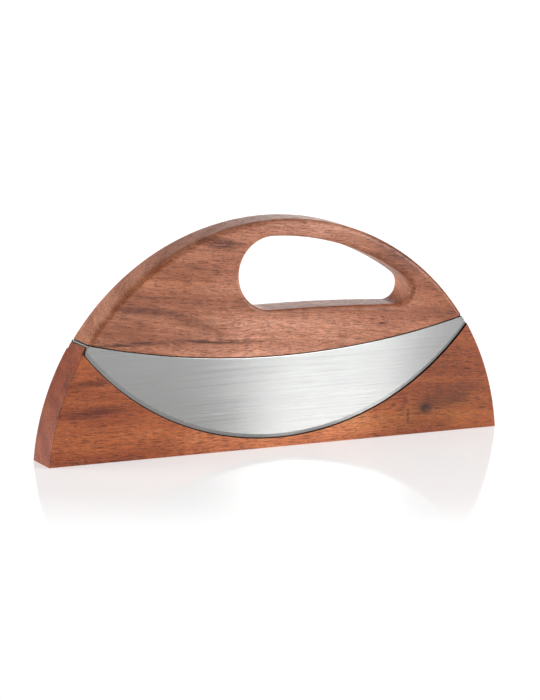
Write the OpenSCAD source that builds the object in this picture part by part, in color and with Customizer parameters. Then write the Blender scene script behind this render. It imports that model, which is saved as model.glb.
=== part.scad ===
// A mezzaluna with two curved blades, standing in its own wooden stand.
// X runs along the object, Y from the front face to the back face, and Z points up.
// The origin is the middle of the stand's flat underside. All lengths are in millimetres.

/* [Overall] */
// Length of the stand's flat underside
length = 280; // [240:1:340]
// Thickness of the handle and of the stand, front face to back face
depth = 23; // [18:0.5:32]

/* [Handle] */
// Height of the handle's underside above the table, at its middle
seam_low = 52; // [46:0.2:62]
// Radius of the handle's curved underside
seam_r = 480; // [380:5:800]
// Wood between the underside and the wide end of the grip opening, at the handle's middle
sill = 26.3; // [18:0.1:36]
// Wood above the grip opening, at its highest point
grip_bar = 9.2; // [7:0.1:16]
// Rounding of the handle's outer edges
handle_round = 2.8; // [1:0.2:6]
// Small flat on the edges of the handle's underside
seam_flat = 0.4; // [0.2:0.1:1]

/* [Grip opening] */
// Height of the opening at its wide end
grip_height = 42; // [34:0.5:52]
// Distance of the wide end's centre from the handle's middle
grip_offset = 4; // [0:0.5:12]
// Distance between the centres of the wide end and the narrow end
grip_reach = 78.5; // [60:0.5:88]
// Radius of the narrow end
grip_end_r = 8.8; // [6:0.2:12]
// Drop of the opening's floor from the wide end to the narrow end
grip_fall = 2.2; // [0:0.1:5]
// Radius of the long arch above the fingers
grip_arch_r = 147; // [130:1:190]
// Radius of the slightly crowned floor
grip_floor_r = 1100; // [600:10:2000]
// Rounding of the opening's edges
grip_round = 2.2; // [0.6:0.2:4]

/* [Blades] */
// Thickness of each blade
blade_t = 1.5; // [1:0.1:2.5]
// Height of the cutting edge above the table, at its middle
blade_low = 5.8; // [4:0.1:14]
// Height of the squared-off end of each blade, below the handle
blade_end = 4.4; // [2:0.1:7]
// How far the blades and the spine plate stop short of the wood's curve
blade_inset = 0.6; // [0.2:0.1:2]
// Width of the bevels ground on both faces along the cutting edge
bevel_w = 2; // [1:0.1:5]
// Thickness left at the cutting edge
edge_t = 0.2; // [0.1:0.05:0.5]
// Thickness of the spine plate that joins the blades between their tops, under the handle
plate_t = 1; // [0.6:0.1:2]

/* [Screws] */
// Length of each screw, head and point included
screw_length = 16; // [12:0.5:20]
// Diameter of each screw's shank
screw_d = 3; // [2.5:0.1:4]
// Diameter of each countersunk head
screw_head_d = 5.6; // [5:0.1:7]
// Length of each screw's point
screw_point = 3; // [2:0.5:5]
// Distance from each end of the spine plate to the nearest screw
screw_inset = 33; // [20:1:45]
// Length of each arm of the cross slot in a head, end to end
slot_length = 3.2; // [2.4:0.1:4]
// Width of the cross slot
slot_w = 0.7; // [0.4:0.1:1]
// Depth of the cross slot
slot_depth = 0.9; // [0.5:0.1:1.2]

/* [Stand] */
// Rounding of the stand's end edges
stand_round = 0.7; // [0.4:0.1:3]

/* [Clearances] */
// Gap between the spine plate and the hollow of the stand that carries it
seat_gap = 0.3; // [0.2:0.05:0.6]
// Gap between the cutting edge and the wall of its pocket
edge_gap = 0.6; // [0.3:0.05:1]
// Gap between a blade's inner face and the floor of its pocket
side_gap = 0.3; // [0.2:0.05:0.6]
// Gap around a screw in its hole
screw_gap = 0.05; // [0.03:0.01:0.1]
// How far a screw's head lies below the plate's surface
head_sink = 0.1; // [0.05:0.05:0.2]

/* [Hidden] */
$fn = 96;
half_l = length / 2;
half_d = depth / 2;
over = 1;

// Heights add up from the table to the top of the grip
height = seam_low + sill + grip_height + grip_bar;

// The outer curve of handle and stand is one circle through the stand's ends and the top
outer_r = (half_l * half_l + height * height) / (2 * height);
outer_z = height - outer_r;
seam_z = seam_low + seam_r;

// Height at which two circles centred on the Z axis meet
function meet(r1, z1, r2, z2) = (r1 * r1 - r2 * r2 - z1 * z1 + z2 * z2) / (2 * (z2 - z1));

// Blade outline: the cutting edge is a circle through its lowest point and both blade ends
steel_r = outer_r - blade_inset;
plate_r = seam_r + plate_t;
end_z = meet(seam_r, seam_z, steel_r, outer_z) - blade_end;
end_x = sqrt(steel_r * steel_r - pow(end_z - outer_z, 2));
edge_rise = end_z - blade_low;
edge_r = (end_x * end_x + edge_rise * edge_rise) / (2 * edge_rise);
edge_z = blade_low + edge_r;
edge_in = half_d - blade_t / 2 - edge_t / 2;

// Grip opening: four arcs, each tangent to the next, given by their centres in X and Z
wide_r = grip_height / 2;
wide = [-grip_offset, height - grip_bar - wide_r];
narrow = [wide[0] + grip_reach, wide[1] - wide_r - grip_fall + grip_end_r];
apart = norm(narrow - wide);
along = (narrow - wide) / apart;
below = [along[1], -along[0]];

// Centre that lies r1 from the wide end's centre and r2 from the narrow end's, underneath both
function reach(r1, r2) = (r1 * r1 - r2 * r2 + apart * apart) / (2 * apart);
function under(r1, r2) = wide + along * reach(r1, r2) + below * sqrt(r1 * r1 - pow(reach(r1, r2), 2));
function heading(p, q) = atan2(q[1] - p[1], q[0] - p[0]);
arch = under(grip_arch_r - wide_r, grip_arch_r - grip_end_r);
level = under(grip_floor_r + wide_r, grip_floor_r + grip_end_r);
arch_steps = 24;
wide_steps = 36;
floor_steps = 12;
narrow_steps = 24;
round_steps = 4;
last_turn = 72;

// Screws stand square to the spine plate, evenly spaced between the two end ones
SCREWS = [1, 2, 3, 4];
screw_mid = (len(SCREWS) + 1) / 2;
head_h = (screw_head_d - screw_d) / 2;
plate_end_z = meet(seam_r, seam_z, steel_r, outer_z);
plate_end_x = sqrt(steel_r * steel_r - pow(plate_end_z - outer_z, 2));
screw_pitch = 2 * (plate_end_x - screw_inset) / (len(SCREWS) - 1);
function screw_tilt(i) = asin((i - screw_mid) * screw_pitch / plate_r);

// Turns a flat profile of radius and depth about an axis along Y, through the point [x, z]
module turned(centre, from = 0, to = 360) {
    translate([centre[0], 0, centre[1]])
        rotate([90, 0, 0])
            rotate([0, 0, from])
                rotate_extrude(angle = to - from)
                    children();
}

// Profile of a disc with rounded edges, as thick as the wood
module rounded_rim(r, round) {
    translate([0, -half_d])
        square([r - round, depth]);
    translate([0, round - half_d])
        square([r, depth - 2 * round]);
    for (side = [-1, 1])
        translate([r - round, side * (half_d - round)])
            circle(r = round);
}

// Profile of a disc with a small flat on both edges
module flat_rim(r, flat) {
    polygon([[0, -half_d], [r - flat, -half_d], [r, flat - half_d],
             [r, half_d - flat], [r - flat, half_d], [0, half_d]]);
}

// Points of an arc about a centre, from one angle towards the other, the last point left out
function arc(centre, r, from, to, steps) =
    [for (i = [0:steps - 1]) let (turn = from + (to - from) * i / steps) centre + r * [cos(turn), sin(turn)]];

// Outline of the grip opening, grown outwards by a margin: arch, wide end, floor and narrow end in turn
function outline(margin) = concat(
    arc(arch, grip_arch_r + margin, heading(arch, narrow), heading(arch, wide), arch_steps),
    arc(wide, wide_r + margin, heading(arch, wide), heading(wide, level) + 360, wide_steps),
    arc(level, grip_floor_r - margin, heading(level, wide), heading(level, narrow), floor_steps),
    arc(narrow, grip_end_r + margin, heading(narrow, level), heading(arch, narrow), narrow_steps));

// Depth and margin of the cut's sections: straight in the middle, rounded over towards both faces
function rounding(side, i) =
    let (turn = last_turn * i / round_steps)
    [side * (half_d - grip_round * (1 - sin(turn))), grip_round * (1 - cos(turn))];
function mouth(side) = [side * (half_d + over), grip_round * (1 - cos(last_turn)) + over * tan(last_turn)];
sections = concat([mouth(-1)], [for (i = [round_steps:-1:0]) rounding(-1, i)],
                  [for (i = [0:round_steps]) rounding(1, i)], [mouth(1)]);

// The opening as one solid: every section is the same outline, so neighbours join point to point
module grip_opening() {
    count = arch_steps + wide_steps + floor_steps + narrow_steps;
    last = len(sections) - 1;
    points = [for (s = sections) for (p = outline(s[1])) [p[0], s[0], p[1]]];
    front = [[for (i = [count - 1:-1:0]) i]];
    back = [[for (i = [0:count - 1]) last * count + i]];
    walls = [for (k = [0:last - 1]) for (i = [0:count - 1])
        let (a = k * count + i, b = k * count + (i + 1) % count)
        each [[a, b, b + count], [a, b + count, a + count]]];
    polyhedron(points, concat(front, walls, back));
}

// A screw, or with a gap the hole it goes in, standing on the spine plate
module screw_shape(i, gap) {
    tip = screw_length - screw_point;
    r = screw_d / 2 + gap;
    head_r = screw_head_d / 2 + gap;
    foot = gap > 0 ? -over : 0;
    translate([0, 0, seam_z])
        rotate([0, -screw_tilt(i), 0])
            translate([0, 0, head_sink - plate_r])
                rotate_extrude()
                    polygon([[0, foot], [head_r, foot], [head_r, 0], [r, head_h],
                             [r, tip], [0, screw_length + 2 * gap]]);
}

// Everything under the handle's curved underside, down to the cutting edge and out to the blade ends
module steel_outline(r) {
    difference() {
        turned([0, outer_z])
            translate([0, -half_d])
                square([steel_r, depth]);
        turned([0, seam_z])
            translate([0, -depth])
                square([r, 2 * depth]);
    }
}

module handle() {
    color("#b97b60")
        difference() {
            intersection() {
                turned([0, outer_z])
                    rounded_rim(outer_r, handle_round);
                turned([0, seam_z])
                    flat_rim(seam_r, seam_flat);
            }
            grip_opening();
            for (i = SCREWS)
                screw_shape(i, screw_gap);
        }
}

module spine_plate() {
    color("#a9aba8")
        difference() {
            intersection() {
                steel_outline(seam_r);
                turned([0, seam_z])
                    translate([0, blade_t - half_d])
                        square([plate_r, depth - 2 * blade_t]);
            }
            for (i = SCREWS)
                screw_shape(i, screw_gap);
        }
}

// A blade tapers to its cutting edge from both faces; the back blade mirrors the front one
module blade() {
    color("#c4c6c3")
        intersection() {
            steel_outline(seam_r);
            turned([0, edge_z])
                polygon([[0, half_d - blade_t], [edge_r - bevel_w, half_d - blade_t], [edge_r, edge_in],
                         [edge_r, edge_in + edge_t], [edge_r - bevel_w, half_d], [0, half_d]]);
        }
}

module front_blade() {
    blade();
}

module back_blade() {
    mirror([0, 1, 0])
        blade();
}

module spine_screw(i) {
    color("#8e9193")
        difference() {
            screw_shape(i, 0);
            translate([0, 0, seam_z])
                rotate([0, -screw_tilt(i), 0])
                    translate([0, 0, head_sink - plate_r])
                        for (turn = [0, 90])
                            rotate([0, 0, turn])
                                translate([-slot_length / 2, -slot_w / 2, -over])
                                    cube([slot_length, slot_w, over + slot_depth]);
        }
}

module stand() {
    color("#a85a35")
        difference() {
            intersection() {
                turned([0, outer_z])
                    rounded_rim(outer_r, stand_round);
                translate([-length, -depth, 0])
                    cube([2 * length, 2 * depth, height]);
            }
            turned([0, seam_z])
                translate([0, -depth])
                    square([plate_r + seat_gap, 2 * depth]);
            for (side = [0, 1])
                mirror([0, side, 0])
                    turned([0, edge_z])
                        translate([0, half_d - blade_t - side_gap])
                            square([edge_r + edge_gap, depth]);
        }
}

handle();
spine_plate();
front_blade();
back_blade();
spine_screw(1);  // spine_screw_1
spine_screw(2);  // spine_screw_2
spine_screw(3);  // spine_screw_3
spine_screw(4);  // spine_screw_4
stand();
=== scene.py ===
import math
import bmesh
import bpy
from mathutils import Matrix, Vector


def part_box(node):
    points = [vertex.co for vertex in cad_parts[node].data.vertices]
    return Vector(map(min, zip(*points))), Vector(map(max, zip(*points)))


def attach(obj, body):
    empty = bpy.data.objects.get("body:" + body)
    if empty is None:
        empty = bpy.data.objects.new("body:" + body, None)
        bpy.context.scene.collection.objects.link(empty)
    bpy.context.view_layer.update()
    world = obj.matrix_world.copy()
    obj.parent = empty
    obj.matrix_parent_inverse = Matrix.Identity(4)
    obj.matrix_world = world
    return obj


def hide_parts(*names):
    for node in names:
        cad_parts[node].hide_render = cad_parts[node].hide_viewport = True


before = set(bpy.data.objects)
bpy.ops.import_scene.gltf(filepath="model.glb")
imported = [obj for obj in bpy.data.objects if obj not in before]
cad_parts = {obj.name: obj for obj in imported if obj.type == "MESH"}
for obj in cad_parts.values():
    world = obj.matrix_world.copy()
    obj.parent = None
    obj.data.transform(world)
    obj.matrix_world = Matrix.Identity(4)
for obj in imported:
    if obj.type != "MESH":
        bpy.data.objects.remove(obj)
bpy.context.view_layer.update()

MM = 0.001

# Sizes that the frame gives
half_length, half_depth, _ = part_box("stand")[1]
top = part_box("handle")[1].z
plate_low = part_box("spine_plate")[0]
blade_low, blade_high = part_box("front_blade")

# The outer curve of handle and stand is one circle through the stand's ends and the top
outer_r = (half_length ** 2 + top ** 2) / (2 * top)
outer_z = top - outer_r

# Steel: the spine plate and its curve, then the blades with their squared ends, which both lie a
# little inside the outer curve
plate_t = 1.0 * MM
seam_r = 480 * MM
plate_r = seam_r + plate_t
seam_z = plate_low.z + plate_r
blade_inset = 0.6 * MM
blade_end = 4.4 * MM
blade_t = blade_high.y - blade_low.y
bevel_w = 2.0 * MM
edge_t = 0.2 * MM
steel_r = outer_r - blade_inset


def meet(r1, z1, r2, z2):
    """Where two circles centred on the Z axis cross: half width and height."""
    z = (r1 * r1 - r2 * r2 - z1 * z1 + z2 * z2) / (2 * (z2 - z1))
    return math.sqrt(r1 * r1 - (z - z1) ** 2), z


# The steel's upper corners, then the cutting edge's circle through its lowest point and the feet
# of the squared ends
corner_x, corner_z = meet(seam_r, seam_z, steel_r, outer_z)
end_z = corner_z - blade_end
end_x = math.sqrt(steel_r ** 2 - (end_z - outer_z) ** 2)
edge_rise = end_z - blade_low.z
edge_r = (end_x ** 2 + edge_rise ** 2) / (2 * edge_rise)
edge_z = blade_low.z + edge_r

# Grip opening: a wide end, a narrow end, the arch above them and the floor below
wide_r = 21 * MM
wide = Vector((-4 * MM, top - 9.2 * MM - wide_r))
narrow_r = 8.8 * MM
narrow = Vector((wide.x + 78.5 * MM, wide.y - wide_r - 2.2 * MM + narrow_r))
arch_r = 147 * MM
floor_r = 1100 * MM

# Stand: gaps round the steel that it carries
seat_gap = 0.3 * MM
pocket_gap = 0.6 * MM
pocket_depth = blade_t + 0.3 * MM

# Screws through the spine plate, at equal steps between two places the same distance from its ends
screw_count = 4
screw_inset = 33 * MM
screw_pitch = 2 * (corner_x - screw_inset) / (screw_count - 1)
screw_length = 16 * MM
screw_r = 1.5 * MM
screw_head_r = 2.8 * MM
screw_sink = 0.1 * MM


# Node fields

class Field:
    """One value in a node tree; sums and products of fields make the nodes."""

    def __init__(self, tree, socket):
        self.tree = tree
        self.socket = socket

    def math(self, operation, *others):
        node = self.tree.nodes.new("ShaderNodeMath")
        node.operation = operation
        for slot, value in zip(node.inputs, (self,) + others):
            plug(self.tree, value, slot)
        return Field(self.tree, node.outputs[0])

    def __add__(self, other):
        return self.math("ADD", other)

    def __sub__(self, other):
        return self.math("SUBTRACT", other)

    def __rsub__(self, other):
        return self.math("MULTIPLY", -1.0).math("ADD", other)

    def __mul__(self, other):
        return self.math("MULTIPLY", other)

    def __truediv__(self, other):
        return self.math("DIVIDE", other)

    def root(self):
        return self.math("SQRT")

    def low(self, other):
        return self.math("MINIMUM", other)

    def high(self, other):
        return self.math("MAXIMUM", other)

    def size(self):
        return self.math("ABSOLUTE")

    def step(self, start, end):
        """0 before start, 1 after end, smooth between them."""
        node = self.tree.nodes.new("ShaderNodeMapRange")
        node.interpolation_type = "SMOOTHSTEP"
        plug(self.tree, self, node.inputs["Value"])
        rising = end >= start
        node.inputs["From Min"].default_value = start if rising else end
        node.inputs["From Max"].default_value = end if rising else start
        node.inputs["To Min"].default_value = 0.0 if rising else 1.0
        node.inputs["To Max"].default_value = 1.0 if rising else 0.0
        return Field(self.tree, node.outputs["Result"])


def plug(tree, value, slot):
    if isinstance(value, Field):
        tree.links.new(value.socket, slot)
    else:
        slot.default_value = value


def combine(tree, x, y, z):
    node = tree.nodes.new("ShaderNodeCombineXYZ")
    for value, slot in zip((x, y, z), node.inputs):
        plug(tree, value, slot)
    return Field(tree, node.outputs[0])


def separate(vector):
    node = vector.tree.nodes.new("ShaderNodeSeparateXYZ")
    plug(vector.tree, vector, node.inputs[0])
    return [Field(vector.tree, s) for s in node.outputs]


# Materials

def noise(tree, place, detail, rough, seed=None):
    """Noise over a place, with a seed of its own, or over a single value when there is no seed."""
    node = tree.nodes.new("ShaderNodeTexNoise")
    if seed is None:
        node.noise_dimensions = "1D"
        values = {"W": place}
    else:
        node.noise_dimensions = "4D"
        values = {"Vector": place, "W": seed}
    values.update({"Scale": 1.0, "Detail": detail, "Roughness": rough})
    for label, value in values.items():
        plug(tree, value, node.inputs[label])
    return Field(tree, node.outputs[0])


def cells(tree, vector):
    """Distance to the nearest scattered point, and that point's own random value."""
    node = tree.nodes.new("ShaderNodeTexVoronoi")
    plug(tree, vector, node.inputs["Vector"])
    node.inputs["Scale"].default_value = 1.0
    colour = Field(tree, node.outputs["Color"])
    return Field(tree, node.outputs["Distance"]), separate(colour)[0]


def blend(fields, shares):
    """Fields added up, each by its share."""
    total, *rest = [field * share for field, share in zip(fields, shares)]
    for field in rest:
        total = total + field
    return total


def ramp(value, stops):
    node = value.tree.nodes.new("ShaderNodeValToRGB")
    plug(value.tree, value, node.inputs[0])
    band = node.color_ramp
    band.interpolation = "EASE"
    while len(band.elements) < len(stops):
        band.elements.new(0.5)
    for element, (place, colour) in zip(band.elements, stops):
        element.position = place
        element.color = (*colour, 1.0)
    return Field(value.tree, node.outputs[0])


def multiplied(colour, factor, share):
    """Colour multiplied by another, as far as share says."""
    tree = colour.tree
    node = tree.nodes.new("ShaderNodeMix")
    node.data_type = "RGBA"
    node.blend_type = "MULTIPLY"
    for value, slot in ((share, 0), (colour, 6), (factor, 7)):
        plug(tree, value, node.inputs[slot])
    return Field(tree, node.outputs[2])


def tinted(colour, tint, share):
    """Colour multiplied by a fixed tint, as far as share says."""
    return multiplied(colour, (*tint, 1.0), share)


def shaded(colour, value):
    """Colour made lighter or darker by a value near 1."""
    return multiplied(colour, combine(colour.tree, value, value, value), 1.0)


def new_material(name):
    material = bpy.data.materials.new(name)
    material.use_nodes = True
    tree = material.node_tree
    shader = tree.nodes["Principled BSDF"]
    coordinates = tree.nodes.new("ShaderNodeTexCoord")
    return material, tree, shader, coordinates


def mapped(tree, coordinates, turn=0.0, shift=(0, 0, 0)):
    """Object coordinates in millimetres, turned about the depth axis: X runs along the grain."""
    node = tree.nodes.new("ShaderNodeMapping")
    tree.links.new(coordinates.outputs["Object"], node.inputs["Vector"])
    node.inputs["Scale"].default_value = (1 / MM,) * 3
    node.inputs["Rotation"].default_value = (0, math.radians(turn), 0)
    node.inputs["Location"].default_value = shift
    return Field(tree, node.outputs[0])


def bump(tree, shader, height, distance, strength):
    node = tree.nodes.new("ShaderNodeBump")
    node.inputs["Distance"].default_value = distance
    node.inputs["Strength"].default_value = strength
    plug(tree, height, node.inputs["Height"])
    tree.links.new(node.outputs["Normal"], shader.inputs["Normal"])


def srgb(*levels):
    """A colour from the 0 to 255 levels of a picture, made linear."""
    shares = [level / 255 for level in levels]
    return tuple(((c + 0.055) / 1.055) ** 2.4 if c > 0.04045 else c / 12.92 for c in shares)


# A mark is at full strength inside this share of its ellipse, and fades between two depths
MARK_CORE = 0.15
MARK_DEPTHS = (-3.0, -9.0)


def spot(place, centre, size, turn):
    """1 at the middle of a soft ellipse on the front face, 0 outside it and below the surface."""
    x, y, z = separate(place)
    cosine, sine = math.cos(math.radians(turn)), math.sin(math.radians(turn))
    dx, dz = x - centre[0], z - centre[1]
    along = (dx * cosine + dz * sine) / size[0]
    across = (dz * cosine - dx * sine) / size[1]
    far = (along * along + across * across).root()
    return far.step(1.0, MARK_CORE) * y.step(*MARK_DEPTHS)


# Grain: the length in millimetres of one step along and across the fibres, then the noise's
# detail, roughness and seed
GRAIN = {
    "bend": (110, 60, 1.0, 0.5, 3.1),
    "ripple": (30, 11, 2.0, 0.5, 7.7),
    "streaks": (26, 1.6, 3.0, 0.6, 1.3),
    "hairs": (6.0, 0.60, 2.0, 0.6, 5.9),
    "flecks": (1.9, 0.60, 1.0, 0.6, 8.4),
    "cloud": (22, 9, 2.0, 0.5, 2.6),
    "crowd": (20, 5, 2.0, 0.5, 9.2)}
# How far bend and ripple push the fibres, in depth and in height
BEND_BY = (10, 18)
RIPPLE_BY = (1.6, 2.6)
# Growth rings: the width of one step in millimetres, then the noise's detail and roughness
BROAD_RINGS = (9.5, 1.0, 0.5)
FINE_RINGS = (1.5, 2.0, 0.6)
# Pores: one step along and across the fibres, the distance within which a pore shows, and how
# many of the cells have one; the short ones come in crowds
LONG_PORES = (8.5, 0.75, (0.46, 0.22), (0.30, 0.75))
SHORT_PORES = (3.0, 0.85, (0.42, 0.18), (0.20, 0.60))
CROWDED = (0.34, 0.58)
PORE_TINT = (0.36, 0.25, 0.23)
PORE_SHARE = 0.72
# Shares of broad rings, fine rings, streaks and clouds in the tone, of hairs and flecks in the
# shade, and of hairs, flecks and streaks in the relief
TONE_SHARES = (0.26, 0.16, 0.20, 0.28)
SHADE_SHARES = (1.30, 1.05)
RELIEF_SHARES = (0.5, 0.25, 0.35)
PORE_RELIEF = 0.8
# Where the fibres break up a mark
BROKEN_HAIRS = 0.6
BROKEN = (0.10, -0.06)
# End grain: how far a face must turn to the side, and the layers that it shows
END_TURN = (0.25, 0.95)
LAYER_STEPS = (0.8, 60, 7)
LAYER_NOISE = (2.0, 0.6, 4.2)
LAYER_SHADE = 1.5
# Surface
OILED_ROUGH = 0.38
HAIR_ROUGH = 0.20
PORE_ROUGH = 0.25
WOOD_GLOSS = 0.44
WOOD_IOR = 1.48
WOOD_BUMP = (0.00014, 0.40)


def wood(name, turn, pith, shift, stops, end_tint, marks=()):
    """Oiled hardwood. The grain is solid, so faces, rims and end grain show one piece of wood."""
    material, tree, shader, coordinates = new_material(name)
    plain = mapped(tree, coordinates)
    x, y, z = separate(mapped(tree, coordinates, turn, shift))

    def grain(kind):
        along, across, *settings = GRAIN[kind]
        return noise(tree, combine(tree, x / along, y / across, z / across), *settings)

    def pits(along, across, near, kinds):
        far, kind = cells(tree, combine(tree, x / along, y / across, z / across))
        return far.step(*near) * kind.step(*kinds)

    def layers_of(ring, width, detail, rough):
        return noise(tree, ring / width, detail, rough) - 0.5

    # The fibres bend slowly along the board and ripple a little
    bend, ripple = grain("bend") - 0.5, grain("ripple") - 0.5
    y, z = [side + bend * by_bend + ripple * by_ripple
            for side, by_bend, by_ripple in zip((y, z), BEND_BY, RIPPLE_BY)]

    # Growth rings about the heart of the trunk
    dy, dz = y - pith[0], z - pith[1]
    ring = (dy * dy + dz * dz).root()
    broad = layers_of(ring, *BROAD_RINGS)
    rings = layers_of(ring, *FINE_RINGS)

    # Fibres: long streaks, fine hairs and flecks, and open pores that show as short dark marks
    streaks, hairs, flecks, cloud = [
        grain(kind) - 0.5 for kind in ("streaks", "hairs", "flecks", "cloud")]
    crowded = grain("crowd").step(*CROWDED)
    pores = pits(*LONG_PORES).high(pits(*SHORT_PORES) * crowded)

    colour = ramp(blend((broad, rings, streaks, cloud), TONE_SHARES) + 0.5, stops)
    colour = shaded(colour, blend((hairs, flecks), SHADE_SHARES) + 1.0)
    colour = tinted(colour, PORE_TINT, pores * PORE_SHARE)
    broken = (streaks + hairs * BROKEN_HAIRS).step(*BROKEN)
    # Marks of the wood; some of them are lighter patches of painted sheen
    for centre, size, angle, tint, strength, gaps in marks:
        share = spot(plain, centre, size, angle) * strength
        colour = tinted(colour, tint, share * (broken * gaps + (1.0 - gaps)))

    # End grain takes up oil in another way, and shows the rings as layers
    facing = separate(Field(tree, coordinates.outputs["Normal"]))[0].size().step(*END_TURN)
    colour = tinted(colour, end_tint, facing)
    reach = math.hypot(*pith)
    sideways = dy * (pith[1] / reach) - dz * (pith[0] / reach)
    place = combine(tree, *[way / step for way, step in zip((ring, x, sideways), LAYER_STEPS)])
    layers = noise(tree, place, *LAYER_NOISE) - 0.5
    colour = shaded(colour, layers * facing * LAYER_SHADE + 1.0)

    tree.links.new(colour.socket, shader.inputs["Base Color"])
    rough = OILED_ROUGH - hairs * HAIR_ROUGH + pores * PORE_ROUGH
    tree.links.new(rough.socket, shader.inputs["Roughness"])
    shader.inputs["Specular IOR Level"].default_value = WOOD_GLOSS
    shader.inputs["IOR"].default_value = WOOD_IOR
    relief = blend((hairs, flecks, streaks), RELIEF_SHARES) - pores * PORE_RELIEF
    bump(tree, shader, relief, *WOOD_BUMP)
    return material


# Brushing: the length in millimetres of one step each way, the noise's detail and roughness, and
# what is added to the seed; first the fine lines, then coarse ones, then clouds
BRUSHING = [
    (30, 0.22, 0.16, 2.0, 0.6, 0),
    (90, 2.0, 0.7, 3.0, 0.6, 2),
    (40, 30, 25, 2.0, 0.5, 5)]
# Shares of the three in the colour and in the roughness, of the first two in the relief
BRUSHED_COLOUR = (0.45, 0.40, 0.15)
BRUSHED_ROUGH = (0.14, 0.26, 0.08)
BRUSHED_RELIEF = (0.6, 0.4)
ROUGH_MIDDLE = 0.24
STREAK_RANGE = (0.30, 0.70)
STEEL_BUMP = (0.00002, 0.10)
QUARTER_TURN = 0.25


def brushed_steel(name, tone, rough, streak, seed):
    """Steel with fine brushing along the object's length."""
    material, tree, shader, coordinates = new_material(name)
    x, y, z = separate(mapped(tree, coordinates))
    lines = [noise(tree, combine(tree, x / along, y / deep, z / tall), detail, grit, seed + more)
             for along, deep, tall, detail, grit, more in BRUSHING]
    grades = [tuple(c * grade for c in tone) for grade in (1 - streak, 1 + streak)]
    colour = ramp(blend(lines, BRUSHED_COLOUR), list(zip(STREAK_RANGE, grades)))
    tree.links.new(colour.socket, shader.inputs["Base Color"])
    uneven = blend(lines, BRUSHED_ROUGH) - ROUGH_MIDDLE
    tree.links.new((uneven + rough).socket, shader.inputs["Roughness"])
    shader.inputs["Metallic"].default_value = 1.0
    shader.inputs["Anisotropic"].default_value = 1.0
    shader.inputs["Anisotropic Rotation"].default_value = QUARTER_TURN
    tangent = tree.nodes.new("ShaderNodeTangent")
    tangent.direction_type = "UV_MAP"
    tangent.uv_map = "brushing"
    tree.links.new(tangent.outputs[0], shader.inputs["Tangent"])
    bump(tree, shader, blend(lines[:2], BRUSHED_RELIEF), *STEEL_BUMP)
    return material


def tones(places, *colours):
    """The stops of a wood's colour ramp, dark to light."""
    return [(place, srgb(*colour)) for place, colour in zip(places, colours)]


HANDLE_PLACES = (0.30, 0.43, 0.55, 0.70)
STAND_PLACES = (0.28, 0.43, 0.55, 0.72)
STAND_PITH = (75, -95)
STAND_SHIFT = (40, 0, 11)

# Marks of the wood, and lighter patches that are painted sheen: centre and half sizes in
# millimetres on the front face, turn in degrees, tint, strength, and how much of it the fibres
# break up
handle_wood = wood(
    "handle_wood", -7.0, (-55, 210), (0, 0, 0),
    tones(HANDLE_PLACES, (122, 72, 51), (161, 97, 68), (181, 116, 86), (196, 135, 107)),
    (1.16, 1.26, 1.34),
    [((-86, 84.0), (27, 4.4), -8, (0.40, 0.30, 0.26), 0.9, 0.0),
     ((-56, 76.0), (32, 5.4), -21, (0.52, 0.42, 0.36), 0.9, 0.1),
     ((-36, 118.5), (18, 4.6), -12, (0.34, 0.25, 0.22), 1.0, 0.75),
     ((-70, 100), (44, 13), -10, (0.96, 0.89, 0.78), 1.0, 0.0),
     ((-98, 72), (34, 18), 0, (0.90, 0.88, 0.86), 1.0, 0.0),
     ((-84, 92), (60, 40), 30, (0.92, 0.88, 0.84), 1.0, 0.0),
     # The next two are painted sheen: lighter, pinker patches low in the middle of the face and
     # along the arch
     ((-2, 58), (84, 26), -4, (1.42, 1.72, 2.05), 1.0, 0.0),
     ((25, 121), (60, 13), 0, (1.16, 1.34, 1.55), 1.0, 0.0),
     ((74, 109), (34, 18), -38, (0.58, 0.52, 0.52), 1.0, 0.0),
     ((112, 82), (46, 34), -30, (0.70, 0.56, 0.40), 1.0, 0.0),
     ((-92, 65.5), (34, 2.0), -1, (0.26, 0.20, 0.18), 1.0, 0.6),
     ((-40, 63.4), (44, 2.4), -4, (0.30, 0.24, 0.21), 1.0, 0.85),
     ((65, 66.1), (4.2, 1.0), -4, (0.16, 0.12, 0.10), 1.0, 0.0),
     ((77.1, 103.3), (1.8, 1.2), -20, (0.45, 0.36, 0.33), 0.8, 0.0)])

stand_wood = wood(
    "stand_wood", -1.5, STAND_PITH, STAND_SHIFT,
    tones(STAND_PLACES, (112, 48, 22), (155, 75, 35), (175, 92, 46), (193, 114, 65)),
    (0.70, 0.66, 0.98),
    [((-117, 45), (22, 3.4), 1, (0.42, 0.32, 0.28), 0.95, 0.2),
     ((-112, 29), (30, 5.0), 4, (0.46, 0.33, 0.28), 0.95, 0.3),
     # Painted sheen: a lighter, whiter patch in the middle of the stand's face
     ((2, 2), (90, 26), 0, (1.9, 2.7, 4.2), 1.0, 0.0),
     ((93.0, 15.2), (13.0, 7.0), 8, (0.76, 0.66, 0.64), 0.9, 0.4),
     ((93.8, 14.6), (5.6, 4.2), 4, (0.10, 0.05, 0.05), 1.0, 0.0),
     ((94.2, 14.2), (1.8, 0.9), 0, (7.0, 9.0, 9.0), 1.0, 0.0),
     ((80.5, 20.0), (2.6, 5.0), 0, (0.52, 0.40, 0.38), 0.8, 0.0),
     ((82.5, 10.5), (1.8, 6.0), 0, (0.42, 0.32, 0.34), 0.9, 0.3),
     ((73.0, 18.0), (2.6, 1.3), 10, (0.40, 0.26, 0.26), 0.9, 0.0),
     ((114, 38), (56, 26), 20, (0.66, 0.60, 0.46), 1.0, 0.0),
     ((110, 20), (40, 10), 12, (0.58, 0.56, 0.46), 0.9, 0.4),
     ((98, 10), (66, 20), 6, (0.78, 0.82, 0.60), 1.0, 0.0)])

# The bottoms of the blade pockets are painted darker than the stand's faces: painted shade in the
# gaps beside the blades
painted_pocket_shade = wood(
    "painted_pocket_shade", -1.5, STAND_PITH, STAND_SHIFT,
    tones(STAND_PLACES, (92, 44, 24), (116, 60, 34), (132, 73, 42), (146, 88, 56)),
    (0.8, 0.8, 0.8))
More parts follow.
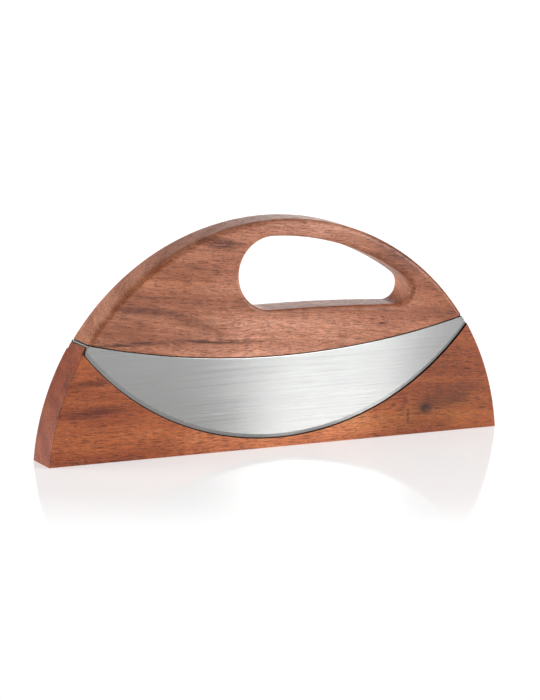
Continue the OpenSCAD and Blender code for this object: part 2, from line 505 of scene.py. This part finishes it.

# The pocket walls and the handle's underside are painted dark: painted shade in the narrow gaps
# between wood and steel
painted_seam_shade = wood(
    "painted_seam_shade", -3.0, STAND_PITH, (0, 0, 0),
    tones(STAND_PLACES, (34, 19, 12), (46, 27, 17), (56, 33, 21), (66, 41, 28)),
    (0.9, 0.9, 0.9))

# Tone, roughness, strength of the streaks, seed
blade_steel = brushed_steel("blade_steel", (0.385, 0.39, 0.385), 0.19, 0.06, 2.0)
bevel_steel = brushed_steel("bevel_steel", (0.35, 0.355, 0.355), 0.30, 0.05, 4.0)
# The spine plate's steel is painted nearly black: painted shade where the plate sits between handle
# and stand
plate_steel = brushed_steel("plate_steel", (0.11, 0.12, 0.11), 0.40, 0.10, 8.0)
screw_steel = brushed_steel("screw_steel", (0.48, 0.48, 0.47), 0.30, 0.08, 11.0)


# Mesh helpers

# Edges sharper than these angles stay sharp
WOOD_CREASE = 32
SCREW_CREASE = 30
STEEL_CREASE = 24
BLADE_CREASE = 12
# Points closer than this are one point
WELD = 1e-7


def finish_mesh(name, mesh, materials, crease):
    """Gives a closed mesh its finish and returns it as an object."""
    piece = bpy.data.objects.new(name, mesh)
    bpy.context.scene.collection.objects.link(piece)
    for material in materials:
        mesh.materials.append(material)
    mesh.shade_smooth()
    mesh.set_sharp_from_angle(angle=math.radians(crease))
    return piece


# The UV map's scale and the U of the object's middle
UV_PER_METRE = 2
UV_MIDDLE = 0.5


def brushing_map(mesh):
    """A UV map whose U runs along the object, for the direction of the brushing."""
    layer = mesh.uv_layers.new(name="brushing")
    for loop in mesh.loops:
        x, y, z = mesh.vertices[loop.vertex_index].co * UV_PER_METRE
        layer.data[loop.index].uv = (x + UV_MIDDLE, z + y)


class Shell:
    """Rings of points, each joined to the one before, on one mesh."""

    def __init__(self):
        self.bm = bmesh.new()

    def ring(self, points):
        return [self.bm.verts.new(p) for p in points]

    def join(self, a, b):
        count = len(a)
        for i in range(count):
            j = (i + 1) % count
            self.bm.faces.new((a[i], a[j], b[j], b[i]))

    def skin(self, rings):
        for a, b in zip(rings, rings[1:]):
            self.join(a, b)

    def cap(self, *rings):
        edges = []
        for ring in rings:
            for i in range(len(ring)):
                pair = (ring[i], ring[(i + 1) % len(ring)])
                edges.append(self.bm.edges.get(pair) or self.bm.edges.new(pair))
        bmesh.ops.triangle_fill(self.bm, use_beauty=True, use_dissolve=False, edges=edges)

    def mesh(self, name):
        bmesh.ops.remove_doubles(self.bm, verts=self.bm.verts[:], dist=WELD)
        bmesh.ops.recalc_face_normals(self.bm, faces=self.bm.faces[:])
        mesh = bpy.data.meshes.new(name)
        self.bm.to_mesh(mesh)
        self.bm.free()
        return mesh


def polar(radius, angle, centre_z):
    return radius * math.cos(angle), centre_z + radius * math.sin(angle)


def spread(count):
    return [i / count for i in range(count)]


def part_way(front, back, share):
    """A section between two others that have the same number of points."""
    return [[a + (b - a) * share for a, b in zip(p, q)] for p, q in zip(front, back)]


ROUND_STEPS = 9
DEPTH_STEPS = 6
turns = [math.radians(90 * k / ROUND_STEPS) for k in range(ROUND_STEPS + 1)]


# Handle

# Roundings of the outer edge, and how fast they grow from the tips towards the crown
TIP_ROUND = 2.6 * MM
CROWN_ROUND = 3.4 * MM
CROWN_SWELL = 0.8
# The lower edge of both faces: its ease, the shadow step's height and depth, and the tips' corners
SEAM_EASE = 0.3 * MM
SHADOW_GAP = 0.55 * MM
SHADOW_DEPTH = 1.4 * MM
CORNER_UP = 1.7 * MM
CORNER_IN = 1.1 * MM
# Roundings of the grip opening, and where they grow, in shares of the way from the wide end's
# centre to the narrow end's
GRIP_ROUND = 2.2 * MM
GRIP_END_ROUND = 3.4 * MM
SWELL_FROM = 0.5
SWELL_OVER = 0.55
FACE_MARGIN = 0.35 * MM
CROWN_POINTS = 200
UNDER_POINTS = 120
CORNER_STEPS = 6
# The underside painted dark as painted shade: between two heights above the seam's curve, and this
# far in from each face
UNDER_FROM = -0.6 * MM
UNDER_TO = 0.3 * MM
UNDER_IN = 0.25 * MM


def crown_round(t):
    """Rounding of the handle's outer edge, small at both tips and full over the grip."""
    return TIP_ROUND + (CROWN_ROUND - TIP_ROUND) * math.sin(math.pi * t) ** CROWN_SWELL


def eased(amount, depth_in):
    """How far an edge rounded by this amount draws back at a depth under the face."""
    if depth_in >= amount:
        return 0.0
    return amount - math.sqrt(max(amount ** 2 - (amount - depth_in) ** 2, 0))


def corner_curve(a, corner, b):
    """Points between a and b on a curve that rounds off a corner."""
    points = []
    for k in range(1, CORNER_STEPS):
        t = k / CORNER_STEPS
        points.append(tuple(p * (1 - t) ** 2 + q * 2 * t * (1 - t) + r * t * t
                            for p, q, r in zip(a, corner, b)))
    return points


def handle_ring(side, turn, margin=0.0):
    """One section of the handle: outer curve from right to left, then the underside back."""
    tip_d = TIP_ROUND * (1 - math.sin(turn))
    tip_in = TIP_ROUND * (1 - math.cos(turn)) + margin
    lift = eased(SEAM_EASE, tip_d) + margin + (SHADOW_GAP if tip_d < SHADOW_DEPTH else 0.0)
    under_r = seam_r - lift
    x, z = meet(outer_r - tip_in, outer_z, under_r, seam_z)
    start = math.atan2(z - outer_z, x) + CORNER_UP / outer_r
    crown = []
    for k in range(CROWN_POINTS + 1):
        t = k / CROWN_POINTS
        r = crown_round(t)
        angle = start + t * (math.pi - 2 * start)
        px, pz = polar(outer_r - r * (1 - math.cos(turn)) - margin, angle, outer_z)
        crown.append((px, side * (half_depth - r * (1 - math.sin(turn))), pz))
    y = side * (half_depth - tip_d)
    swing = math.asin(x / under_r) - CORNER_IN / under_r
    under = []
    for k in range(UNDER_POINTS + 1):
        angle = -math.pi / 2 - swing + 2 * swing * k / UNDER_POINTS
        px, pz = polar(under_r, angle, seam_z)
        under.append((px, y, pz))
    left = corner_curve(crown[-1], (-x, y, z), under[0])
    right = corner_curve(under[-1], (x, y, z), crown[0])
    return crown + left + under + right


def tangent_centre(r1, r2):
    """Centre r1 from the wide end's centre and r2 from the narrow end's, underneath both."""
    gap = narrow - wide
    apart = gap.length
    along = gap / apart
    reach = (r1 * r1 - r2 * r2 + apart * apart) / (2 * apart)
    return wide + along * reach + Vector((along.y, -along.x)) * math.sqrt(r1 * r1 - reach * reach)


arch = tangent_centre(arch_r - wide_r, arch_r - narrow_r)
level = tangent_centre(floor_r + wide_r, floor_r + narrow_r)


def heading(p, q):
    return math.atan2(q.y - p.y, q.x - p.x)


# Arcs of the grip opening: centre, radius, 1 where the opening lies inside the circle and -1 where
# it lies outside, first and last angle, number of points
GRIP_ARCS = [
    (arch, arch_r, 1, heading(arch, narrow), heading(arch, wide), 60),
    (wide, wide_r, 1, heading(arch, wide), heading(wide, level) + 2 * math.pi, 72),
    (level, floor_r, -1, heading(level, wide), heading(level, narrow), 40),
    (narrow, narrow_r, 1, heading(narrow, level), heading(arch, narrow), 56)]


def grip_round(x):
    """The opening's edges are rounded a little more towards its narrow end."""
    way = (x - wide.x) / (narrow.x - wide.x)
    share = min(max((way - SWELL_FROM) / SWELL_OVER, 0), 1)
    return GRIP_ROUND + (GRIP_END_ROUND - GRIP_ROUND) * share * share * (3 - 2 * share)


def grip_ring(side, turn, margin=0.0):
    """One section of the grip opening, all the way round."""
    points = []
    for centre, radius, sign, start, end, count in GRIP_ARCS:
        for t in spread(count):
            angle = start + (end - start) * t
            r = grip_round(centre.x + radius * math.cos(angle))
            grown = radius + sign * (r * (1 - math.cos(turn)) + margin)
            y = side * (half_depth - r * (1 - math.sin(turn)))
            points.append((centre.x + grown * math.cos(angle), y,
                           centre.y + grown * math.sin(angle)))
    return points


def handle_body():
    shell = Shell()
    caps = {-1: [], 1: []}
    for make in (handle_ring, grip_ring):
        rings = [shell.ring(make(-1, turns[-1], FACE_MARGIN))]
        rings += [shell.ring(make(-1, turn)) for turn in reversed(turns)]
        front, back = make(-1, 0.0), make(1, 0.0)
        rings += [shell.ring(part_way(front, back, k / DEPTH_STEPS)) for k in range(1, DEPTH_STEPS)]
        rings += [shell.ring(make(1, turn)) for turn in turns]
        rings.append(shell.ring(make(1, turns[-1], FACE_MARGIN)))
        shell.skin(rings)
        caps[-1].append(rings[0])
        caps[1].append(rings[-1])
    for side in (-1, 1):
        shell.cap(*caps[side])
    mesh = shell.mesh("handle_body")
    piece = finish_mesh("handle_body", mesh, [handle_wood, painted_seam_shade], WOOD_CREASE)
    # Faces of the underside and of its shadow step are painted dark, as painted shade in the gap
    for face in mesh.polygons:
        x, y, z = face.center
        under = math.hypot(x, z - seam_z) - seam_r
        if UNDER_FROM < under < UNDER_TO and abs(y) < half_depth - UNDER_IN:
            face.material_index = 1
    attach(piece, "mezzaluna")
    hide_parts("handle")


# Stand

STAND_ROUND = 0.7 * MM
FOOT_EASE = 0.35 * MM
POCKET_EASE = 0.15 * MM
SIDE_POINTS = 56
DISH_POINTS = 160
FOOT_POINTS = 80
TIP_POINTS = 6
# Pocket faces, painted darker as painted shade: how near the wall's circle a face lies, where it
# counts as facing front or back, and how far in from the stand's face the bottoms begin
WALL_NEAR = 0.2 * MM
FACING = 0.6
POCKET_IN = 1.0 * MM


def arc_points(radius, centre_z, start, end, count, y):
    """Points from one angle towards another about a centre on the Z axis, the last one left out."""
    points = []
    for t in spread(count):
        px, pz = polar(radius, start + (end - start) * t, centre_z)
        points.append((px, y, pz))
    return points


def stand_outline(depth_in, side, margin=0.0):
    """The stand's section at a depth under its face, in named stretches."""
    y = side * (half_depth - depth_in)
    outer = outer_r - eased(STAND_ROUND, depth_in) - margin
    foot = eased(FOOT_EASE, depth_in) + margin
    pocket = edge_r + pocket_gap + eased(POCKET_EASE, depth_in) + margin
    hollow = plate_r + seat_gap
    foot_x = math.sqrt(outer ** 2 - (foot - outer_z) ** 2)
    low = math.atan2(foot - outer_z, foot_x)
    pocket_x, pocket_top = meet(outer, outer_z, pocket, edge_z)
    mid = math.atan2(pocket_top - outer_z, pocket_x)
    hollow_x, hollow_top = meet(outer, outer_z, hollow, seam_z)
    high = math.atan2(hollow_top - outer_z, hollow_x)
    bite = math.atan2(pocket_top - edge_z, pocket_x)
    dish = math.atan2(hollow_top - seam_z, hollow_x)
    return {
        "right": arc_points(outer, outer_z, low, mid, SIDE_POINTS, y),
        "pocket": arc_points(pocket, edge_z, bite, -math.pi - bite, DISH_POINTS, y),
        "left": arc_points(outer, outer_z, math.pi - mid, math.pi - low, SIDE_POINTS, y),
        "foot": [(-foot_x + 2 * foot_x * t, y, foot) for t in spread(FOOT_POINTS)],
        "right_tip": arc_points(outer, outer_z, mid, high, TIP_POINTS, y),
        "hollow": arc_points(hollow, seam_z, dish, -math.pi - dish, DISH_POINTS, y),
        "left_tip": arc_points(outer, outer_z, math.pi - high, math.pi - mid, TIP_POINTS, y),
    }


def cheek(section):
    """Section of the wood beside a blade pocket."""
    return section["right"] + section["pocket"] + section["left"] + section["foot"]


def web(section):
    """Section of the wood between the two blade pockets."""
    return (section["right"] + section["right_tip"] + section["hollow"] + section["left_tip"]
            + section["left"] + section["foot"])


def stand_body():
    shell = Shell()
    depths = [STAND_ROUND * (1 - math.sin(turn)) for turn in reversed(turns)] + [pocket_depth]
    middle = []
    for side in (-1, 1):
        rings = [shell.ring(cheek(stand_outline(0.0, side, FACE_MARGIN)))]
        rings += [shell.ring(cheek(stand_outline(d, side))) for d in depths]
        shell.skin(rings)
        shell.cap(rings[0])
        floor = stand_outline(pocket_depth, side)
        crescent = (floor["right_tip"] + floor["hollow"] + floor["left_tip"]
                    + [floor["left"][0]] + floor["pocket"][:0:-1])
        shell.cap(shell.ring(crescent))
        middle.append(web(floor))
    shell.skin([shell.ring(part_way(*middle, k / DEPTH_STEPS)) for k in range(DEPTH_STEPS + 1)])
    mesh = shell.mesh("stand_body")
    piece = finish_mesh("stand_body", mesh, [stand_wood, painted_seam_shade, painted_pocket_shade], WOOD_CREASE)
    for face in mesh.polygons:
        x, y, z = face.center
        past = math.hypot(x, z - edge_z) - edge_r - pocket_gap
        # Pocket bottoms and pocket walls are painted darker than the faces, as painted shade beside
        # the blades
        if abs(face.normal.y) > FACING and abs(y) < half_depth - POCKET_IN:
            face.material_index = 2
        elif abs(face.normal.y) < FACING and abs(past) < WALL_NEAR and z < edge_z:
            face.material_index = 1
    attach(piece, "stand")
    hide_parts("stand")


# Geometry node trees for the steel

class Tree:
    """A geometry node tree with named inputs."""

    def __init__(self, name, sizes):
        self.tree = bpy.data.node_groups.new(name, "GeometryNodeTree")
        new_socket = self.tree.interface.new_socket
        new_socket("Geometry", in_out="INPUT", socket_type="NodeSocketGeometry")
        self.keys = {}
        for label, value in sizes.items():
            kind = "NodeSocketInt" if isinstance(value, int) else "NodeSocketFloat"
            self.keys[label] = new_socket(label, in_out="INPUT", socket_type=kind).identifier
        new_socket("Geometry", in_out="OUTPUT", socket_type="NodeSocketGeometry")
        self.inputs = self.tree.nodes.new("NodeGroupInput")
        self.sizes = sizes

    def field(self, kind, **values):
        """A node with these named inputs; gives its first output."""
        node = self.tree.nodes.new(kind)
        for label, value in values.items():
            plug(self.tree, value, node.inputs[label])
        return Field(self.tree, node.outputs[0])

    def size(self, label):
        return Field(self.tree, self.inputs.outputs[label])

    def block(self, along, deep, tall):
        """A box from -1 to 1 each way, in rows that the tree then bends into shape."""
        counts = {"Vertices X": along, "Vertices Y": deep, "Vertices Z": tall}
        return self.field("GeometryNodeMeshCube", Size=(2, 2, 2), **counts)

    def position(self):
        return separate(self.field("GeometryNodeInputPosition"))

    def place(self, geometry, x, y, z):
        """Geometry with its points moved to these coordinates."""
        position = combine(self.tree, x, y, z)
        return self.field("GeometryNodeSetPosition", Geometry=geometry, Position=position)

    def bake(self, name, geometry, material):
        """Ends the tree, runs it and returns the plain mesh that it makes."""
        geometry = self.field("GeometryNodeRealizeInstances", Geometry=geometry)
        geometry = self.field("GeometryNodeSetMaterial", Geometry=geometry, Material=material)
        end = self.tree.nodes.new("NodeGroupOutput")
        plug(self.tree, geometry, end.inputs[0])
        carrier = bpy.data.objects.new(name + "_carrier", bpy.data.meshes.new(name + "_carrier"))
        bpy.context.scene.collection.objects.link(carrier)
        modifier = carrier.modifiers.new(name, "NODES")
        modifier.node_group = self.tree
        for label, value in self.sizes.items():
            modifier[self.keys[label]] = value
        bpy.context.view_layer.update()
        run = carrier.evaluated_get(bpy.context.evaluated_depsgraph_get())
        mesh = bpy.data.meshes.new_from_object(run)
        bpy.data.objects.remove(carrier)
        mesh.name = name
        return mesh


def widest_turn(size, radius, centre):
    """The angle at which a circle about a centre height reaches the circle of the steel's ends."""
    end_r, end_mid, mid = size("End radius"), size("End centre"), size(centre)
    z = (radius * radius - end_r * end_r - mid * mid + end_mid * end_mid) / ((end_mid - mid) * 2)
    fall = mid - z
    return (radius * radius - fall * fall).root().math("ARCTAN2", fall)


def steel_piece(name, mesh, replaced, materials, crease=STEEL_CREASE):
    bm = bmesh.new()
    bm.from_mesh(mesh)
    bmesh.ops.remove_doubles(bm, verts=bm.verts[:], dist=WELD)
    bmesh.ops.recalc_face_normals(bm, faces=bm.faces[:])
    bm.to_mesh(mesh)
    bm.free()
    mesh.materials.clear()
    piece = finish_mesh(name, mesh, materials, crease)
    brushing_map(mesh)
    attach(piece, "mezzaluna")
    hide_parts(*replaced)
    return piece


# Blades: points each way, the share of the rows that the bevel takes, and where the eased edges
# begin along the height, along the length and above the bevel
BLADE_POINTS = (241, 3, 61)
BEVEL_SHARE = 0.30
EASE_TOP = 0.995
EASE_END = 0.9985
EASE_ABOVE = 0.05
BLADE_CORNER = 2.0 * MM
BLADE_EASE = 0.06 * MM
# A face is on the bevel within this much of its width, and when it faces front or back
BEVEL_REACH = 1.001
BEVEL_FACING = 0.5


def crescent_blade(name, node_name, side):
    """A blade: rows of arcs from the cutting edge up to the handle's underside."""
    tree = Tree("crescent_blade", {
        "Edge radius": edge_r, "Edge centre": edge_z, "Top radius": seam_r, "Top centre": seam_z,
        "End radius": steel_r, "End centre": outer_z, "Thickness": blade_t,
        "Outer face": half_depth, "Bevel width": bevel_w, "Edge thickness": edge_t,
        "Corner": BLADE_CORNER, "Ease": BLADE_EASE,
        "Top corner": math.hypot(corner_x, edge_z - corner_z)})
    size = tree.size
    u, s, v = tree.position()
    row = v * 0.5 + 0.5
    low_row = (row / BEVEL_SHARE).low(1.0)
    high_row = ((row - BEVEL_SHARE) / (1 - BEVEL_SHARE)).high(0.0)
    # Rows gather near the spine, where the face is eased
    high_row = high_row * (2 - high_row)
    drop = size("Bevel width") * low_row
    start = size("Edge radius") - drop
    corner = size("Corner")
    lost = corner - (corner * corner - (corner - drop).high(0.0).math("POWER", 2.0)).root()
    end_reach = start + (size("Top corner") - start) * high_row
    turn = u * (widest_turn(size, end_reach, "Edge centre") - lost / size("Edge radius"))
    cosine = turn.math("COSINE")
    top_r = size("Top radius")
    apart = size("Top centre") - size("Edge centre")
    reach = (apart * apart * (cosine * cosine - 1) + top_r * top_r).root() - apart * cosine
    radius = start + (reach - start) * high_row
    # Depth: a bevel on both sides, and on the outer side a small ease at the spine and both ends
    near_top = high_row.step(EASE_TOP, 1.0)
    near_end = u.size().step(EASE_END, 1.0) * row.step(BEVEL_SHARE, BEVEL_SHARE + EASE_ABOVE)
    eased_in = (near_top + near_end).low(1.0) * size("Ease")
    ground = (1 - low_row) * (size("Thickness") - size("Edge thickness")) / 2
    inner = size("Outer face") - size("Thickness") + ground
    outer = size("Outer face") - ground - eased_in
    depth = inner + (outer - inner) * (s * 0.5 + 0.5)
    body = tree.place(tree.block(*BLADE_POINTS), radius * turn.math("SINE"), depth * side,
                      size("Edge centre") - radius * cosine)
    mesh = tree.bake(name, body, blade_steel)
    piece = steel_piece(
        name, mesh, [node_name], [blade_steel, bevel_steel], BLADE_CREASE)
    # The ground band along the cutting edge has its own finish
    for face in mesh.polygons:
        x, y, z = face.center
        on_bevel = edge_r - math.hypot(x, z - edge_z) < bevel_w * BEVEL_REACH
        if on_bevel and face.normal.y * side > BEVEL_FACING:
            face.material_index = 1
    return piece


STRIP_POINTS = (241, 9, 9)
STRIP_UNDER_HANDLE = 0.2 * MM
STRIP_EASE = 0.05 * MM
STRIP_EASE_FROM = 0.6


def spine_strip():
    """The plate under the handle: a flat strip bent along the handle's curve."""
    tree = Tree("spine_strip", {
        "Inner radius": seam_r + STRIP_UNDER_HANDLE, "Outer radius": plate_r,
        "Centre height": seam_z, "End radius": steel_r, "End centre": outer_z,
        "Half depth": half_depth - blade_t, "Ease": STRIP_EASE})
    size = tree.size
    u, s, v = tree.position()
    thickness = size("Outer radius") - size("Inner radius")
    radius = size("Inner radius") + thickness * (v * 0.5 + 0.5)
    ease = v.size().step(STRIP_EASE_FROM, 1.0) * size("Ease")
    turn = u * widest_turn(size, radius, "Centre height")
    body = tree.place(tree.block(*STRIP_POINTS), radius * turn.math("SINE"),
                      s * (size("Half depth") - ease),
                      size("Centre height") - radius * turn.math("COSINE"))
    mesh = tree.bake("spine_strip", body, plate_steel)
    steel_piece("spine_strip", mesh, ["spine_plate"], [plate_steel])


SCREW_POINTS = 48
# The cross in the head: half the length and width of its arms, its depth, and how its edge and
# its walls slope
CROSS_ARM = 1.6 * MM
CROSS_HALF = 0.35 * MM
CROSS_DEEP = 0.9 * MM
CROSS_LIP = (0.06 * MM, 0.08 * MM)
CROSS_TAPER = 0.12 * MM
# The head's rim and the neck below it
RIM_EASE = 0.12 * MM
RIM_HEIGHT = 0.10 * MM
NECK_HEIGHT = 0.2 * MM
# The thread: rise in one turn, core, first and last height, rows, and the ridge's half width in
# turns; it grows to full height over the first eighth of the rows
THREAD_LEAD = 1.3 * MM
THREAD_CORE = 0.78
THREAD_FROM = 3.4 * MM
THREAD_TO = screw_length - 3 * MM
THREAD_ROWS = 90
THREAD_GROWS = 8
RIDGE_HALF = 0.22
POINT_SHARE = 0.08
POINT_SHORT = 0.1 * MM


def screw_blank():
    """One countersunk screw, its head at the origin and its point upwards, with a cross in it."""
    shell = Shell()

    def disc(radius_at, z):
        points = []
        for i in range(SCREW_POINTS):
            r, angle = radius_at(i / SCREW_POINTS), 2 * math.pi * i / SCREW_POINTS
            points.append((r * math.cos(angle), r * math.sin(angle), z))
        return shell.ring(points)

    def plain_disc(r, z):
        return disc(lambda around: r, z)

    def cross(grow, z):
        a, h = CROSS_ARM + grow, CROSS_HALF + grow
        corners = ((a, -h), (a, h), (h, h), (h, a), (-h, a), (-h, h),
                   (-a, h), (-a, -h), (-h, -h), (-h, -a), (h, -a), (h, -h))
        return shell.ring([(x, y, z) for x, y in corners])

    def thread(z, fade):
        def radius_at(around):
            phase = (z / THREAD_LEAD - around) % 1.0
            ridge = max(0.0, 1 - abs(phase - 0.5) / RIDGE_HALF)
            return screw_r * (THREAD_CORE + (1 - THREAD_CORE) * ridge * fade)
        return disc(radius_at, z)

    rim = plain_disc(screw_head_r - RIM_EASE, 0)
    mouth = cross(CROSS_LIP[0], 0)
    shell.cap(rim, mouth)
    walls = [mouth, cross(0, CROSS_LIP[1]), cross(-CROSS_TAPER, CROSS_DEEP)]
    shell.skin(walls)
    shell.cap(walls[-1])
    neck = screw_head_r - screw_r + NECK_HEIGHT
    rings = [rim, plain_disc(screw_head_r, RIM_HEIGHT), plain_disc(screw_r * THREAD_CORE, neck)]
    for k in range(THREAD_ROWS + 1):
        z = THREAD_FROM + (THREAD_TO - THREAD_FROM) * k / THREAD_ROWS
        rings.append(thread(z, min(1.0, THREAD_GROWS * k / THREAD_ROWS)))
    rings.append(plain_disc(screw_r * POINT_SHARE, screw_length - POINT_SHORT))
    shell.skin(rings)
    shell.cap(rings[-1])
    return finish_mesh("screw_blank", shell.mesh("screw_blank"), [screw_steel], SCREW_CREASE)


def spine_screws():
    """Screws at equal steps along the spine plate, each standing square to it."""
    blank = screw_blank()
    tree = Tree("screws_along_arc", {
        "Count": screw_count, "Pitch": screw_pitch, "Plate radius": plate_r,
        "Centre height": seam_z, "Sink": screw_sink})
    size = tree.size
    points = tree.field("GeometryNodeMeshLine", Count=size("Count"))
    step = tree.field("GeometryNodeInputIndex") - (size("Count") - 1) / 2
    turn = (step * size("Pitch") / size("Plate radius")).math("ARCSINE")
    radius = size("Plate radius") - size("Sink")
    points = tree.place(points, radius * turn.math("SINE"), 0.0,
                        size("Centre height") - radius * turn.math("COSINE"))
    made = tree.tree.nodes.new("GeometryNodeObjectInfo")
    made.inputs["Object"].default_value = blank
    put = tree.field(
        "GeometryNodeInstanceOnPoints", Points=points,
        Instance=Field(tree.tree, made.outputs["Geometry"]),
        Rotation=combine(tree.tree, 0.0, turn * -1.0, 0.0))
    mesh = tree.bake("spine_screws", put, screw_steel)
    bpy.data.objects.remove(blank)
    nodes = [f"spine_screw_{i + 1}" for i in range(screw_count)]
    steel_piece("spine_screws", mesh, nodes, [screw_steel])


handle_body()
stand_body()
crescent_blade("front_crescent", "front_blade", -1)
crescent_blade("back_crescent", "back_blade", 1)
spine_strip()
spine_screws()


# Floor, light and camera

FLOOR_HALF = 6.0
FLOOR_DROP = 0.0003
FLOOR_GREY = (0.55, 0.55, 0.55, 1)
FLOOR_ROUGH = 0.08
WHITE = (1, 1, 1, 1)
# Gloss and own light of the floor where it mirrors the object and where it doesn't
MIRROR_FLOOR = (0.045, 0.535)
PLAIN_FLOOR = (0.0, 0.71)
# The mirror image fades over this range in millimetres, along this direction on the floor
FADE_ALONG = (0.44, 0.90)
FADE_RANGE = (-240.0, -110.0)


def studio_floor():
    """The sheet under the object mirrors it faintly; the image fades towards the camera."""
    mesh = bpy.data.meshes.new("studio_floor")
    corners = [(x * FLOOR_HALF, y * FLOOR_HALF, 0) for x, y in ((-1, -1), (1, -1), (1, 1), (-1, 1))]
    mesh.from_pydata(corners, [], [(0, 1, 2, 3)])
    plane = bpy.data.objects.new("studio_floor", mesh)
    plane.location.z = -FLOOR_DROP
    bpy.context.scene.collection.objects.link(plane)
    material, tree, shader, coordinates = new_material("studio_floor")
    plain = tree.nodes.new("ShaderNodeBsdfPrincipled")
    for node, (gloss, glow) in ((shader, MIRROR_FLOOR), (plain, PLAIN_FLOOR)):
        node.inputs["Base Color"].default_value = FLOOR_GREY
        node.inputs["Roughness"].default_value = FLOOR_ROUGH
        node.inputs["Specular IOR Level"].default_value = gloss
        node.inputs["Emission Color"].default_value = WHITE
        node.inputs["Emission Strength"].default_value = glow
    share = blend(separate(mapped(tree, coordinates))[:2], FADE_ALONG).step(*FADE_RANGE)
    mix = tree.nodes.new("ShaderNodeMixShader")
    for socket, slot in zip((share.socket, plain.outputs[0], shader.outputs[0]), mix.inputs):
        tree.links.new(socket, slot)
    tree.links.new(mix.outputs[0], tree.nodes["Material Output"].inputs["Surface"])
    mesh.materials.append(material)


MIDDLE = (0, 0, 0.06)
# Name, place, what it points at, width and height in metres, watts
SOFTBOXES = [
    ("key", (1.067, -0.747, 1.153), MIDDLE, (0.8, 0.8), 5.6),
    ("front_card", (1.20, -0.98, 0.42), MIDDLE, (0.34, 0.75), 13.5),
    ("glow", (0.533, -1.0, 0.36), (0.03, 0, 0.06), (0.136, 0.72), 2.05),
    ("overhead", (0.0, 0.15, 1.7), MIDDLE, (1.6, 1.6), 5),
    ("rim_left", (-1.4, 0.5, 0.30), MIDDLE, (0.8, 0.6), 17),
    ("backdrop", (0.9, 2.3, 0.5), (0, 0, 0.1), (3.2, 1.0), 20)]
AMBIENT = 0.02


def softbox(name, place, target, size, power):
    light = bpy.data.lights.new(name, "AREA")
    light.shape = "RECTANGLE"
    light.size, light.size_y = size
    light.energy = power
    box = bpy.data.objects.new(name, light)
    box.location = place
    aim = Vector(target) - Vector(place)
    box.rotation_euler = aim.to_track_quat("-Z", "Y").to_euler()
    box.visible_camera = False
    bpy.context.scene.collection.objects.link(box)


def studio_light():
    """Softboxes, a little light from all round, and white behind for the camera alone."""
    for row in SOFTBOXES:
        softbox(*row)
    world = bpy.data.worlds.new("studio")
    bpy.context.scene.world = world
    world.use_nodes = True
    tree = world.node_tree
    ambient = tree.nodes["Background"]
    ambient.inputs["Color"].default_value = WHITE
    ambient.inputs["Strength"].default_value = AMBIENT
    white = tree.nodes.new("ShaderNodeBackground")
    white.inputs["Strength"].default_value = 1.0
    path = tree.nodes.new("ShaderNodeLightPath")
    mix = tree.nodes.new("ShaderNodeMixShader")
    sockets = (path.outputs["Is Camera Ray"], ambient.outputs[0], white.outputs[0])
    for socket, slot in zip(sockets, mix.inputs):
        tree.links.new(socket, slot)
    tree.links.new(mix.outputs[0], tree.nodes["World Output"].inputs[0])


def studio_camera():
    """The camera stands to the left of the front and looks slightly down, as for the photo."""
    yaw, pitch, roll = math.radians(-26.2528), math.radians(11.1321), math.radians(0.66127)
    distance, focal_px, frame_px, sensor = 2.27029, 4028.7, 700, 36.0
    aim_x, aim_z = -0.000248, 0.0534276
    back = Vector((math.sin(yaw) * math.cos(pitch), -math.cos(yaw) * math.cos(pitch),
                   math.sin(pitch)))
    right = Vector((math.cos(yaw), math.sin(yaw), 0))
    up = back.cross(right)
    aim = Vector((aim_x * math.cos(yaw), aim_x * math.sin(yaw), aim_z))
    turned_right = right * math.cos(roll) + up * math.sin(roll)
    turned_up = up * math.cos(roll) - right * math.sin(roll)
    lens = bpy.data.cameras.new("studio_camera")
    lens.sensor_width = sensor
    lens.lens = focal_px / frame_px * sensor
    lens.clip_start, lens.clip_end = 0.05, 50
    camera = bpy.data.objects.new("studio_camera", lens)
    axes = Matrix((turned_right, turned_up, back)).transposed()
    camera.matrix_world = Matrix.Translation(aim + back * distance) @ axes.to_4x4()
    bpy.context.scene.collection.objects.link(camera)
    bpy.context.scene.camera = camera


studio_floor()
studio_light()
studio_camera()
scene = bpy.context.scene
scene.view_settings.view_transform = "Standard"
scene.view_settings.look = "None"
scene.cycles.use_denoising = True
